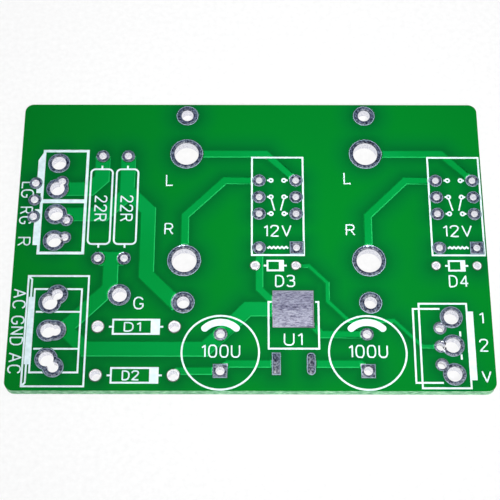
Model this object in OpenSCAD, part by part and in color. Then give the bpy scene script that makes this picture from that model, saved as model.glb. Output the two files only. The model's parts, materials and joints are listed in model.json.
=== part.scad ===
// Switching board for two stereo inputs: a bare double-sided circuit board with plated
// holes, tinned pads, solder mask and printed outlines, before any part is fitted.
// Two relays each pass a pair of input sockets to the one output on the left edge. They
// are driven through the control header on the right, and a rectifier, a regulator and
// two capacitors make their supply from the AC terminal at the lower left.
// Frame: the origin is the centre of the underside, +X runs to the control header,
// +Y to the shell pads of the left sockets and +Z up out of the printed side.

/* [Board] */
// Length of the board along X
board_l = 64.2; // [57:0.1:80]
// Width of the board along Y
board_w = 42.4; // [42.2:0.1:60]
// Radius of the board's corners
corner_r = 1.2; // [0.4:0.1:1.8]
// Thickness of the glass-epoxy core
core_t = 1.5; // [0.8:0.1:3.2]

/* [Layers] */
// Thickness of the copper foil
copper_t = 0.035; // [0.035:0.005:0.07]
// Thickness of the solder on a pad
tin_t = 0.02; // [0.01:0.005:0.03]
// Thickness of the solder mask on the bare core
mask_t = 0.03; // [0.02:0.005:0.035]
// Thickness of the solder mask over copper
mask_over_t = 0.02; // [0.015:0.005:0.03]
// Width of the mask's wall beside a track
mask_wall_w = 0.08; // [0.05:0.01:0.12]
// Gap between a pad and the edge of the mask round it
mask_gap = 0.08; // [0.05:0.01:0.12]
// Thickness of the metal plated on a hole's wall
plating_t = 0.05; // [0.03:0.01:0.08]
// Height of the printed ink above the mask that covers the tracks
ink_t = 0.015; // [0.01:0.005:0.03]
// Gap between a pad and the printed ink
ink_gap = 0.1; // [0.1:0.01:0.3]

/* [Wire and plug holes] */
// Distance between the pins of a wire-to-board plug
plug_pitch = 3.96; // [3.8:0.01:4.1]
// Hole for a plug pin or a stripped wire
plug_hole_d = 2; // [1.9:0.05:2.1]
// Pad round a plug hole
plug_pad_d = 3; // [2.8:0.05:3.2]
// Distance between the screws of the AC terminal block
terminal_pitch = 5.08; // [5:0.01:5.2]
// Hole for a terminal block pin
terminal_hole_d = 1.5; // [1.3:0.05:1.6]
// Pad round a terminal block hole
terminal_pad_d = 2.8; // [2.6:0.05:3]
// Distance between the pins of a small header
pin_pitch = 2.54; // [2.4:0.01:2.6]
// Hole for a small header pin
pin_hole_d = 1.05; // [0.9:0.05:1.1]
// Hole for a small pin of the control header
control_pin_hole_d = 1.2; // [1.2:0.05:1.3]
// Pad round a small header hole
pin_pad_d = 1.7; // [1.5:0.05:1.9]

/* [Input sockets] */
// Hole for a socket's signal tag
socket_hole_d = 3.4; // [2.8:0.1:3.8]
// Pad round a signal hole
socket_pad_d = 4.55; // [4.3:0.05:4.8]
// Hole for a socket's shell tag
shell_hole_d = 1.7; // [1.4:0.05:2]
// Pad round a shell hole
shell_pad_d = 3.05; // [2.7:0.05:3.2]
// Distance from the left to the right signal hole of one input
socket_pitch = 16.2; // [15.8:0.1:16.4]
// Distance from a signal hole out to its shell hole
shell_reach = 6.08; // [5.8:0.01:6.3]

/* [Relays] */
// Distance between a relay's two columns of pins
relay_column_pitch = 5.08; // [4.9:0.01:5.2]
// Distance between a relay's contact pins along a column
relay_row_pitch = 2.54; // [2.4:0.01:2.6]
// Distance from the coil pins to the nearest contact pins
relay_coil_reach = 5.08; // [4.9:0.01:5.2]
// Hole for a relay pin
relay_hole_d = 0.95; // [0.8:0.05:1.1]
// Pad round a relay hole
relay_pad_d = 1.78; // [1.6:0.02:1.9]
// Width of a relay's printed outline
relay_body_w = 7.08; // [6.8:0.01:7.2]
// Length of a relay's printed outline
relay_body_l = 14.82; // [14.5:0.01:15]

/* [Resistors, diodes and capacitors] */
// Distance between the holes of a resistor
resistor_span = 15.53; // [15.3:0.01:15.7]
// Distance between the two resistors
resistor_pitch = 3.57; // [3.4:0.01:3.7]
// Hole for a resistor lead
resistor_hole_d = 1.05; // [0.8:0.05:1.2]
// Pad round a resistor hole
resistor_pad_d = 1.75; // [1.6:0.05:1.9]
// Distance between the holes of a rectifier diode
rectifier_span = 10.16; // [10:0.01:10.3]
// Distance between the two rectifier diodes
rectifier_pitch = 6.72; // [6.5:0.01:6.9]
// Hole for a rectifier diode lead
rectifier_hole_d = 1.3; // [1:0.05:1.4]
// Pad round a rectifier diode hole
rectifier_pad_d = 1.7; // [1.6:0.05:1.9]
// Distance between the holes of a relay's diode
relay_diode_span = 5.54; // [5.3:0.01:5.7]
// Hole for the lead of a relay's diode
relay_diode_hole_d = 0.85; // [0.7:0.05:1]
// Pad round a relay diode hole
relay_diode_pad_d = 1.25; // [1.2:0.05:1.4]
// Distance between the holes of a capacitor
capacitor_span = 5.08; // [4.9:0.01:5.2]
// Hole for a capacitor lead
capacitor_hole_d = 1.2; // [1:0.05:1.3]
// Round pad of a capacitor
capacitor_pad_d = 1.65; // [1.6:0.05:1.9]
// Square pad of a capacitor, across its flats
capacitor_square_w = 1.85; // [1.7:0.05:2]
// Diameter of a capacitor's printed circle
capacitor_d = 10.2; // [9.8:0.1:10.4]

/* [Regulator] */
// Width of the bare land under the regulator's tab
tab_w = 5.46; // [5.2:0.01:5.7]
// Length of the land under the tab
tab_l = 5.21; // [5:0.01:5.4]
// Distance between the two lead lands
lead_pitch = 4.58; // [4.4:0.01:4.7]
// Width of a lead land
lead_w = 1.11; // [1:0.01:1.2]
// Length of a lead land
lead_l = 3.03; // [2.8:0.01:3.2]

/* [Tracks] */
// Width of the tracks that carry ground
ground_track_w = 2; // [1.6:0.1:2.1]
// Width of the tracks that carry sound to the relays
signal_track_w = 1; // [0.6:0.1:1.1]
// Width of the supply tracks
supply_track_w = 0.95; // [0.7:0.05:1]
// Width of the relays' control tracks
control_track_w = 0.5; // [0.3:0.05:0.6]
// Width of the long tracks on the underside that join the relays to the output
bus_track_w = 0.6; // [0.4:0.05:0.7]

/* [Printed lines] */
// Width of a thin printed line
line_w = 0.24; // [0.2:0.01:0.28]
// Width of the heavy line round the output plugs
heavy_line_w = 0.38; // [0.3:0.01:0.42]
// Width of the solid bar that marks a plug's locking side
bar_w = 0.72; // [0.6:0.01:0.8]
// Width of the arc that marks a capacitor's negative side
polarity_w = 0.95; // [0.8:0.05:1]

/* [Printed outlines] */
// Distance from the output plugs' holes to the locking side of their outline
output_back = 2.06; // [1.9:0.01:2.1]
// Distance from the output plugs' holes to the front of their outline
output_front = 4.02; // [3.8:0.01:4.1]
// Length of the outline past the last plug hole at each end
output_end = 1.88; // [1.7:0.01:2]
// Length of the terminal block's outline
terminal_body_l = 15.46; // [15.2:0.01:15.6]
// Distance from the plug holes to the back of the terminal block's outline
terminal_back = 3.04; // [2.9:0.01:3.1]
// Distance from the plug holes to the front of the terminal block's outline
terminal_front = 5.08; // [4.8:0.01:5.1]
// Length of the plug's outline inside the terminal block's
ac_plug_body_l = 11.68; // [11.4:0.01:11.8]
// Distance from the plug holes to the back of the plug's outline
ac_plug_back = 2.1; // [1.9:0.01:2.2]
// Distance from the plug holes to the front of the plug's outline
ac_plug_front = 4.22; // [4:0.01:4.4]
// Length of the bar behind the AC plug
terminal_bar_l = 9.45; // [9:0.01:10]
// Length of the control plug's outline
control_body_l = 11.73; // [11.5:0.01:11.8]
// Distance from the control plug's holes to the front of its outline
control_front = 4.27; // [4.1:0.01:4.4]
// Distance from the control plug's holes to the locking side of its outline
control_back = 2.08; // [1.9:0.01:2.2]
// Length of the bar behind the control plug
control_bar_l = 9.52; // [9:0.01:10]
// Length of the outline of the small plug that also fits there
small_body_l = 10.27; // [10:0.01:10.4]
// Distance from the control plug's holes to the front of the small plug's outline
small_front = 5.07; // [4.9:0.01:5.2]
// Width of a resistor's outline
resistor_body_w = 3; // [2.8:0.05:3.1]
// Length of a resistor's outline
resistor_body_l = 11.36; // [11:0.01:11.6]
// Width of a rectifier diode's outline
rectifier_body_w = 2; // [1.8:0.05:2.2]
// Length of a rectifier diode's outline
rectifier_body_l = 6.1; // [5.8:0.05:6.4]
// Width of a relay diode's outline
relay_diode_body_w = 1.4; // [1.2:0.05:1.6]
// Length of a relay diode's outline
relay_diode_body_l = 2.1; // [1.9:0.05:2.4]
// Width of the regulator's outline
regulator_body_w = 6.66; // [6.4:0.01:6.8]
// Length of the regulator's outline below its hooks
regulator_body_l = 6.57; // [6.3:0.01:6.7]

/* [Hidden] */

$fn = 48;
over = 0.5;                                        // how far a cutting tool runs past its work

// Heights, from the underside up
core_z = copper_t + max(mask_over_t, tin_t);       // lower face of the core
top_z = core_z + core_t;                           // upper face of the core
ink_top = copper_t + mask_over_t + ink_t;          // top of the ink above the core

// A kind of pad: its width, its hole and whether it is square
plug_pad = [plug_pad_d, plug_hole_d, false];
terminal_pad = [terminal_pad_d, terminal_hole_d, false];
pin_pad = [pin_pad_d, pin_hole_d, false];
control_pin_pad = [pin_pad_d, control_pin_hole_d, false];
socket_pad = [socket_pad_d, socket_hole_d, false];
shell_pad = [shell_pad_d, shell_hole_d, false];
relay_pad = [relay_pad_d, relay_hole_d, false];
relay_square_pad = [relay_pad_d, relay_hole_d, true];
resistor_pad = [resistor_pad_d, resistor_hole_d, false];
rectifier_pad = [rectifier_pad_d, rectifier_hole_d, false];
relay_diode_pad = [relay_diode_pad_d, relay_diode_hole_d, false];
capacitor_pad = [capacitor_pad_d, capacitor_hole_d, false];
capacitor_square_pad = [capacitor_square_w, capacitor_hole_d, true];

// ---- Where the holes are. Sides count from 0, which is the left or the first. ----

LEFT = 0;
RIGHT = 1;

left_edge = -board_l / 2;
right_edge = board_l / 2;

// The lower row fills the board's length: the small header's pads, the AC terminal, the
// rectifiers, the first capacitor, the regulator, the second capacitor and the control header.
// The length that they and their printed lines don't need is shared out between the gaps.
edge_pin_reach = 3.05;                             // from the small header to the plugs' holes
capacitor_gap = 0.17;                              // from the rectifiers' pads to the circle
row_l = pin_pad_d / 2 + edge_pin_reach + terminal_front + rectifier_pad_d + rectifier_span
    + capacitor_gap + 2 * capacitor_d + regulator_body_w + small_front + 4 * line_w
    + control_back + bar_w;
GAP_SHARES = [1.38, 0.41, 1.03, 1.03, 0.85, 2.6];
function sum_to(list, n) = n < 0 ? 0 : list[n] + sum_to(list, n - 1);
function gap(i) = (board_l - row_l) * GAP_SHARES[i] / sum_to(GAP_SHARES, len(GAP_SHARES) - 1);
plug_edge = gap(0) + pin_pad_d / 2 + edge_pin_reach;
rectifier_reach = terminal_front + line_w + gap(1) + rectifier_pad_d / 2;
capacitor_reach = rectifier_pad_d / 2 + capacitor_gap + capacitor_d / 2;
capacitor_pitch = capacitor_d + regulator_body_w + 2 * line_w + gap(2) + gap(3);
control_edge = gap(5) + control_back + bar_w;

// Output plugs: two of two pins each, with small extra holes beside three of them
output_x = left_edge + plug_edge;
output_1_y = 11.85;
output_2_y = 4.03;
edge_pin_y = 6.19;
left_output = [output_x, output_1_y];
left_ground = left_output - [0, plug_pitch];
right_ground = [output_x, output_2_y];
right_output = right_ground - [0, plug_pitch];
left_ground_extra = left_ground + [0.62, 1.11];
right_ground_extra = right_ground + [1.52, -0.93];
right_output_extra = right_output + [1.44, 0.46];
edge_pins = [for (i = [-1:1])
    [output_x - edge_pin_reach, edge_pin_y - i * pin_pitch]];

// AC terminal: a column of plug holes and one of terminal holes, which run together
ac_y = -12.93;
ac_middle = [output_x, ac_y];
ac_plug = [for (i = [-1:1]) ac_middle - [0, i * plug_pitch]];
ac_terminal = [for (i = [-1:1]) ac_middle + [0.95, 0.03] - [0, i * terminal_pitch]];

// Control plug: the same pair of columns at the right edge
control_y = -14.94;
control_middle = [right_edge - control_edge, control_y];
control_plug = [for (i = [-1:1]) control_middle - [0, i * plug_pitch]];
control_pins = [for (i = [-1:1]) control_middle - [1.58, 0.1] - [0, i * pin_pitch]];

// Resistors, each [lower hole, upper hole], and the ground track that runs down beside them
resistor_gap = 0.58;                               // from the plugs' outline to the first body
resistor_y = -2.55;
resistor_first = [output_x + output_front + resistor_gap + resistor_body_w / 2, resistor_y];
function resistor(i) =
    let (low = resistor_first + [i * resistor_pitch, 0]) [low, low + [0, resistor_span]];
lane_gap = 0.55;
lane_x = resistor(1)[0].x + resistor_body_w / 2 + lane_gap + ground_track_w / 2;

// The upper row: sockets, relay, sockets, relay, in that order from the lane to the right edge
socket_gap = 1.825;                                // from the lane to the first socket's pad
relay_gap = 0.32;                                  // from the last relay's outline to the edge
row_first_x = lane_x + ground_track_w / 2 + socket_gap + socket_pad_d / 2;
row_last_x = right_edge - relay_gap - relay_body_w / 2;
SPAN_SHARES = [12.71, 12.35, 12.18];
function row_x(i) = row_first_x + (row_last_x - row_first_x)
    * sum_to(SPAN_SHARES, i - 1) / sum_to(SPAN_SHARES, len(SPAN_SHARES) - 1);

// Input sockets, by input and side
socket_y = 13.35;
function socket(input, side) = [row_x(2 * input), socket_y - side * socket_pitch];
function shell(input, side) = socket(input, side) + [0, (side == LEFT ? 1 : -1) * shell_reach];

// Relays, by relay, column and row. Row 0 is the coil, then rest, common and input.
COIL = 0;
REST = 1;
COMMON = 2;
INPUT = 3;
relay_y = -0.95;
function relay_middle(relay) = [row_x(2 * relay + 1), relay_y];
function relay_row_y(row) = row == COIL ? 0 : relay_coil_reach + (row - REST) * relay_row_pitch;
function relay_pin(relay, column, row) =
    relay_middle(relay) + [(column - 0.5) * relay_column_pitch, relay_row_y(row)];

// Parts with two leads: [first hole, second hole]
rectifier_y = -12.4;
rectifier_first = [output_x + rectifier_reach, rectifier_y];
function rectifier(i) =
    let (anode = rectifier_first - [0, i * rectifier_pitch]) [anode, anode + [rectifier_span, 0]];
relay_diode_drop = 2.65;                           // from the coil pins down to the diode
relay_diode_shift = -0.37;                         // of the diode's middle from the relay's
function relay_diode(i) =
    let (middle = relay_middle(i) + [relay_diode_shift, -relay_diode_drop])
    [middle - [relay_diode_span / 2, 0], middle + [relay_diode_span / 2, 0]];
capacitor_y = -13.4;
capacitor_first = [rectifier(0)[1].x + capacitor_reach, capacitor_y];
function capacitor(i) =
    let (minus = capacitor_first + [i * capacitor_pitch, 0]) [minus, minus - [0, capacitor_span]];

ground_wire = resistor(1)[0] - [0.41, 5.31];
tab_rise = 3.57;                                   // from the capacitors up to the tab
lead_y = -17.49;
regulator_middle = [(capacitor(0)[0].x + capacitor(1)[0].x) / 2, capacitor_y + tab_rise];
tab_at = regulator_middle - [0.05, 0];
leads = [for (s = [-0.5, 0.5]) [tab_at.x + s * lead_pitch, lead_y]];

// ---- Routes: a track runs level or upright, and slants at 45 degrees for the rest ----

function to(a, b) = b > a ? 1 : -1;

// The slanting step that uses up the shorter of the two distances from a to b
function slant(a, b) = min(abs(b.x - a.x), abs(b.y - a.y)) * [to(a.x, b.x), to(a.y, b.y)];

function slant_first(a, b) = [a, a + slant(a, b), b];

function slant_last(a, b) = [a, b - slant(a, b), b];

// Level and then upright, with the corner between them cut off
function corner_cut(a, b, cut) =
    [a, [b.x - to(a.x, b.x) * cut, a.y], [b.x, a.y + to(a.y, b.y) * cut], b];

// ---- Nets. Each is [pads, tracks on top, tracks underneath, lands]. ----
// A pad is [place, kind], a track is [points, width], a land is [place, size, rounded].

function rest_net(relay, column) = [[[relay_pin(relay, column, REST), relay_pad]], [], [], []];

signal_cut = 5.4;
function left_input_net(input) =
    let (from = socket(input, LEFT), pin = relay_pin(input, RIGHT, INPUT))
    [[[from, socket_pad], [pin, relay_pad]], [[slant_last(from, pin), signal_track_w]], [], []];

function right_input_net(input) =
    let (from = relay_pin(input, LEFT, INPUT), tag = socket(input, RIGHT))
    [[[from, relay_pad], [tag, socket_pad]],
     [[corner_cut(from, tag, signal_cut), signal_track_w]], [], []];

left_bus_y = relay_y + 11.55;
left_bus_start = left_output + [1, -1] * (output_1_y - left_bus_y);
left_output_net_parts = [
    [[left_output, plug_pad], [edge_pins[0], pin_pad],
     for (r = [0, 1]) [relay_pin(r, RIGHT, COMMON), relay_pad]],
    [],
    [[slant_first(edge_pins[0], left_output), signal_track_w],
     [[left_output, left_bus_start, [relay_middle(1).x, left_bus_y]], bus_track_w],
     for (r = [0, 1])
         [slant_last([relay_middle(r).x, left_bus_y], relay_pin(r, RIGHT, COMMON)), bus_track_w]],
    []
];

right_lane_x = relay_middle(0).x - 4.61;
right_lane_y = relay_y + 2.55;
right_link_x = relay_pin(1, LEFT, COMMON).x - 2.1;
right_output_net_parts = [
    [[right_output, plug_pad], [right_output_extra, pin_pad], [edge_pins[2], pin_pad],
     for (r = [0, 1]) [relay_pin(r, LEFT, COMMON), relay_pad]],
    [],
    [[slant_first(edge_pins[2], right_output), signal_track_w],
     [[right_output, [right_lane_x, right_output.y]], bus_track_w],
     [slant_last([right_lane_x, right_output.y - bus_track_w / 2], relay_pin(0, LEFT, COMMON)),
      bus_track_w],
     [[relay_pin(0, LEFT, COMMON), relay_pin(0, LEFT, COMMON) + [1, -1] * relay_column_pitch / 2,
       [relay_middle(0).x, right_lane_y], [right_link_x, right_lane_y]], bus_track_w],
     [slant_last([right_link_x, right_lane_y - bus_track_w / 2], relay_pin(1, LEFT, COMMON)),
      bus_track_w]],
    []
];

resistor_cut = 1.56;
left_ground_net_parts = [
    [[left_ground, plug_pad], [left_ground_extra, pin_pad], [edge_pins[1], pin_pad],
     [resistor(0)[1], resistor_pad], for (i = [0, 1]) [shell(i, LEFT), shell_pad]],
    [[corner_cut(left_ground, resistor(0)[1], resistor_cut), ground_track_w]],
    [[slant_first(edge_pins[1], left_ground), signal_track_w],
     [slant_first(resistor(0)[1], shell(0, LEFT)), signal_track_w],
     [[shell(0, LEFT), shell(1, LEFT)], signal_track_w]],
    []
];

// The right ground passes the resistors and runs down a lane beside the first sockets
lane_top_y = right_ground.y + 0.59;
lane_foot_y = shell(0, RIGHT).y + 3.99;
branch_y = right_ground.y + 3.02;                  // where the plug's branch joins the lane
lane_head = resistor(1)[1];
lane_foot = slant_first([lane_x, lane_foot_y], shell(0, RIGHT));
right_ground_net_parts = [
    [[right_ground, plug_pad], [right_ground_extra, pin_pad], [resistor(1)[1], resistor_pad],
     for (i = [0, 1]) [shell(i, RIGHT), shell_pad]],
    [[[lane_head, [lane_head.x, lane_top_y + lane_x - lane_head.x], [lane_x, lane_top_y],
       lane_foot[0], lane_foot[1], lane_foot[2]], ground_track_w],
     [slant_last(right_ground, [lane_head.x, branch_y]), ground_track_w]],
    [[[shell(0, RIGHT), shell(1, RIGHT)], signal_track_w]],
    []
];

// The supply ground starts at the resistors' feet, turns at the AC terminal and ends at
// the regulator's tab, with a branch to each relay and to the second capacitor
spine_head = (resistor(0)[0] + resistor(1)[0]) / 2;
terminal_front_at = ac_terminal[1] + [0.97, 0];    // on the terminal pad, where the spine arrives
terminal_turn = ac_terminal[1] + [1.47, 0];        // where the feed leaves the terminal pad
feed_y = ac_terminal[1].y - 2.56;
feed_drop = terminal_turn.y - feed_y;
feed_rise = capacitor(0)[0].y - feed_y;            // from the feed up to the capacitor's pad
relay_ground = relay_pin(0, LEFT, COIL);
relay_ground_end = tab_at + [-2.09, 0.43];         // inside the tab's land
second_ground_start = tab_at + [1.31, -1.13];      // inside the tab's land too
far_reach = 5.06;                                  // from the second capacitor to the lane
far_x = capacitor(1)[0].x + far_reach;             // lane on the underside that leads to relay 2
far_cut = 2;
far_diode = relay_diode(1)[0];
far_end = [far_x, far_diode.y - (far_diode.x - far_x)];
supply_ground_net_parts = [
    [for (i = [0, 1]) [resistor(i)[0], resistor_pad],
     [ground_wire, plug_pad], [ac_plug[1], plug_pad], [ac_terminal[1], terminal_pad],
     for (i = [0, 1]) [capacitor(i)[0], capacitor_pad],
     for (i = [0, 1]) [relay_diode(i)[0], relay_diode_pad],
     for (i = [0, 1]) [relay_pin(i, LEFT, COIL), relay_pad]],
    [[[resistor(0)[0], resistor(1)[0]], ground_track_w],
     [concat(slant_last(spine_head, terminal_front_at), [ac_terminal[1]]), ground_track_w],
     [[ac_terminal[1], terminal_turn, terminal_turn + [1, -1] * feed_drop,
       capacitor(0)[0] - [1, 1] * feed_rise, capacitor(0)[0] + [1, 1] * tab_rise, tab_at],
      ground_track_w],
     [slant_last(relay_ground, relay_ground_end), supply_track_w],
     [slant_first(second_ground_start, capacitor(1)[0]), supply_track_w]],
    [[concat(corner_cut(capacitor(1)[0], far_end, far_cut), [far_diode]), supply_track_w],
     [slant_first(far_diode, relay_pin(1, LEFT, COIL)), control_track_w]],
    [[tab_at, [tab_w, tab_l], false]]
];

function ac_net(place, diode) = [
    [[ac_plug[place], plug_pad], [ac_terminal[place], terminal_pad],
     [rectifier(diode)[0], rectifier_pad]],
    [],
    [[slant_first(ac_terminal[place], rectifier(diode)[0]), signal_track_w]],
    []
];

raw_supply_net_parts = [
    [for (i = [0, 1]) [rectifier(i)[1], rectifier_pad], [capacitor(0)[1], capacitor_square_pad]],
    [[slant_first(rectifier(1)[1], capacitor(0)[1]), supply_track_w],
     [slant_first(capacitor(0)[1], leads[0]), supply_track_w]],
    [[[rectifier(0)[1], rectifier(1)[1]], signal_track_w]],
    [[leads[0], [lead_w, lead_l], false]]
];

regulated_supply_net_parts = [
    [[capacitor(1)[1], capacitor_square_pad], [control_plug[2], plug_pad],
     [control_pins[2], control_pin_pad]],
    [[slant_last(leads[1], capacitor(1)[1]), supply_track_w]],
    [[slant_last(capacitor(1)[1], control_pins[2]), supply_track_w]],
    [[leads[1], [lead_w, lead_l], true]]
];

control_1_net_parts = [
    [[control_plug[0], plug_pad], [control_pins[0], control_pin_pad],
     [relay_diode(1)[1], relay_diode_pad], [relay_pin(1, RIGHT, COIL), relay_square_pad]],
    [],
    [[slant_first(control_plug[0], relay_diode(1)[1]), control_track_w],
     [slant_first(relay_diode(1)[1], relay_pin(1, RIGHT, COIL)), control_track_w]],
    []
];

// The second control track steps down between the capacitor and the socket's shell pad
step_x = capacitor(1)[0].x - 5.14;
step_y = relay_diode(0)[1].y - 5.1;
crossing_y = capacitor(1)[0].y + 1.95;
pin_approach = 2.47;                               // level run that ends on the small pin
step_end = slant_last([step_x, crossing_y], control_pins[1] - [pin_approach, 0]);
control_2_net_parts = [
    [[control_plug[1], plug_pad], [control_pins[1], control_pin_pad],
     [relay_diode(0)[1], relay_diode_pad], [relay_pin(0, RIGHT, COIL), relay_square_pad]],
    [[concat(corner_cut(relay_diode(0)[1], [step_x, step_y], 2.45),
             [[step_x + step_y - crossing_y, crossing_y], step_end[1], step_end[2],
              control_pins[1]]), control_track_w]],
    [[slant_first(relay_pin(0, RIGHT, COIL), relay_diode(0)[1]), control_track_w]],
    []
];

NETS = [
    left_output_net_parts, left_ground_net_parts, right_ground_net_parts, right_output_net_parts,
    supply_ground_net_parts, ac_net(0, 0), ac_net(2, 1), raw_supply_net_parts,
    regulated_supply_net_parts, control_1_net_parts, control_2_net_parts,
    for (i = [0, 1]) left_input_net(i),
    for (i = [0, 1]) right_input_net(i),
    for (i = [0, 1]) for (c = [LEFT, RIGHT]) rest_net(i, c)
];
TOP = 1;
UNDER = 2;
all_pads = [for (n = NETS) for (p = n[0]) p];
all_lands = [for (n = NETS) for (l = n[3]) l];
function all_tracks(side) = [for (n = NETS) for (t = n[side]) t];

// ---- Flat shapes ----

function unit(v) = v / norm(v);
function across(v) = [-v.y, v.x];

// How far, for each unit of half width, the edge of a track lies from its corner i
function corner(points, i) =
    let (last = len(points) - 1,
         b = min(max(i, 1), last),
         a = min(i, last - 1),
         before = across(unit(points[b] - points[b - 1])),
         after = across(unit(points[a + 1] - points[a])))
    (before + after) / (1 + before * after);

// Outline of a track with mitred corners and square ends
function track_outline(points, w) = concat(
    [for (i = [0:len(points) - 1]) points[i] + corner(points, i) * w / 2],
    [for (i = [len(points) - 1:-1:0]) points[i] - corner(points, i) * w / 2]
);

module tracks_2d(tracks, grow = 0)
    for (t = tracks) polygon(track_outline(t[0], t[1] + 2 * grow));

module pads_2d(pads, grow = 0)
    for (p = pads) translate(p[0]) {
        if (p[1][2]) square(p[1][0] + 2 * grow, center = true);
        else circle(d = p[1][0] + 2 * grow);
    }

module holes_2d(pads, grow = 0)
    for (p = pads) translate(p[0]) circle(d = p[1][1] + 2 * grow);

module lands_2d(lands, grow = 0)
    for (l = lands) translate(l[0]) {
        size = l[1] + [2, 2] * grow;
        if (l[2]) {
            square([size.x, size.y - size.x], center = true);
            for (s = [-0.5, 0.5]) translate([0, s * (size.y - size.x)]) circle(d = size.x);
        } else square(size, center = true);
    }

module board_2d() {
    inner = [board_l, board_w] / 2 - [corner_r, corner_r];
    square([board_l, 2 * inner.y], center = true);
    square([2 * inner.x, board_w], center = true);
    for (x = [-1, 1]) for (y = [-1, 1]) translate([x * inner.x, y * inner.y]) circle(r = corner_r);
}

// Rectangle between two corners
module area(low, high) translate(low) square(high - low);

// Printed rectangle, drawn with a line on its edges
module frame_2d(low, high, w = line_w) {
    difference() {
        area(low - [w, w] / 2, high + [w, w] / 2);
        area(low + [w, w] / 2, high - [w, w] / 2);
    }
}

module stroke(points, w = line_w) polygon(track_outline(points, w));

// ---- Solid layers ----

// Layers on one side of the core: printed side up, or turned over underneath
module on_top() translate([0, 0, top_z]) children();
module underneath() translate([0, 0, core_z]) mirror([0, 0, 1]) children();

// One net: foil and tinned pads on both sides, joined by the plating in its holes
module copper_net(net) {
    color("silver") difference() {
        union() {
            on_top() {
                linear_extrude(copper_t) tracks_2d(net[TOP]);
                linear_extrude(copper_t + tin_t) {
                    pads_2d(net[0]);
                    lands_2d(net[3]);
                }
            }
            underneath() {
                linear_extrude(copper_t) tracks_2d(net[UNDER]);
                linear_extrude(copper_t + tin_t) pads_2d(net[0]);
            }
            translate([0, 0, core_z]) linear_extrude(core_t) holes_2d(net[0], plating_t);
        }
        translate([0, 0, -over]) linear_extrude(top_z + 2 * over) holes_2d(net[0]);
    }
}

// Solder mask: a thin sheet that climbs over the tracks and stops short of the pads
module solder_mask(tracks, lands) {
    difference() {
        union() {
            linear_extrude(mask_t) board_2d();
            linear_extrude(copper_t + mask_over_t) tracks_2d(tracks, mask_wall_w);
        }
        translate([0, 0, -over]) linear_extrude(over + copper_t) tracks_2d(tracks);
        translate([0, 0, -over]) linear_extrude(2 * over + copper_t) {
            pads_2d(all_pads, mask_gap);
            lands_2d(lands, mask_gap);
        }
    }
}

// Printed ink: the flat shape given to it, kept off the pads and seated on the mask
module legend() {
    color("white") on_top() difference() {
        translate([0, 0, mask_t]) linear_extrude(ink_top - mask_t) difference() {
            children();
            pads_2d(all_pads, ink_gap);
            lands_2d(all_lands, ink_gap);
        }
        linear_extrude(copper_t + mask_over_t) tracks_2d(all_tracks(TOP), mask_wall_w);
    }
}

module laminate() {
    color("palegoldenrod") translate([0, 0, core_z]) difference() {
        linear_extrude(core_t) board_2d();
        translate([0, 0, -over]) linear_extrude(core_t + 2 * over) holes_2d(all_pads, plating_t);
    }
}

module top_solder_mask() color("green") on_top() solder_mask(all_tracks(TOP), all_lands);

module bottom_solder_mask() color("green") underneath() solder_mask(all_tracks(UNDER), []);

// ---- Printed outlines ----

// A rectangle of length l along Y, from back behind the place to front before it
module outline_2d(at, back, front, l, w = line_w)
    frame_2d(at - [back, l / 2], at + [front, l / 2], w);

// Two plugs share the heavy line between them, and each has a bar on its locking side
module output_plug_legend() legend() {
    low = right_output - [output_back, output_end];
    high = left_output + [output_front, output_end];
    divider_y = (left_ground.y + right_ground.y) / 2;
    divider_w = 1.5 * heavy_line_w;
    bar_x = low.x - bar_w - heavy_line_w / 4;
    bar_end = 0.7;                                 // of a bar past the plug's holes
    chamfer_y = left_output.y + 0.45;
    frame_2d(low, high, heavy_line_w);
    stroke([[low.x, divider_y], [high.x, divider_y]], divider_w);
    area([bar_x, right_output.y - bar_end], [low.x, right_ground.y + bar_end]);
    polygon([[bar_x, left_ground.y - bar_end], [bar_x, chamfer_y], [low.x, high.y],
             [low.x, left_ground.y - bar_end]]);
}

// The terminal block's outline, with a clip and a bar behind the plug's and its dividers
module ac_terminal_legend() legend() {
    at = [ac_middle.x, ac_terminal[1].y];
    clip_x = terminal_back - 0.48;                 // behind the holes
    clip_corner = 0.5;
    bar_end_x = 0.18;                              // of the bar inside the terminal's outline
    divider_y = terminal_pitch / 2 + 0.05;
    divider_x = ac_plug_back - 0.35;
    outline_2d(at, terminal_back, terminal_front, terminal_body_l);
    outline_2d(at, ac_plug_back, ac_plug_front, ac_plug_body_l);
    area(at - [terminal_back - bar_end_x, terminal_bar_l / 2], at + [line_w / 2 - ac_plug_back, terminal_bar_l / 2]);
    for (s = [-1, 1]) translate(at) scale([1, s]) {
        stroke([[-clip_x, terminal_bar_l / 2], [-clip_x, terminal_body_l / 2 - clip_corner],
                [-terminal_back, terminal_body_l / 2]]);
        stroke([[-divider_x, divider_y], [ac_plug_front, divider_y]]);
    }
}

// Two outlines, one for each plug that fits, and the bar of the larger one
module control_plug_legend() legend() {
    dash_x = 1.04;
    dash_near = 1.25;                              // of a dash from the middle hole
    dash_far = 1.95;
    translate(control_middle) {
        outline_2d([0, 0], control_front, control_back, control_body_l);
        stroke([[-plug_pad_d / 2, small_body_l / 2], [-small_front, small_body_l / 2],
                [-small_front, -small_body_l / 2], [-plug_pad_d / 2, -small_body_l / 2]]);
        for (s = [-1, 1]) stroke([[dash_x, s * dash_near], [dash_x, s * dash_far]]);
        area([control_back, -control_bar_l / 2], [control_back + line_w / 2 + bar_w, control_bar_l / 2]);
    }
}

// A body with rounded corners and a short lead at each end
module resistor_legend(i) legend() {
    half = [resistor_body_w, resistor_body_l] / 2;
    r = 0.6;
    lead = 0.55;
    translate((resistor(i)[0] + resistor(i)[1]) / 2) {
        difference() {
            rounded_2d(half + [line_w, line_w] / 2, r + line_w / 2);
            rounded_2d(half - [line_w, line_w] / 2, r - line_w / 2);
        }
        for (s = [-1, 1]) stroke([[0, s * half.y], [0, s * (half.y + lead)]]);
    }
}

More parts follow.
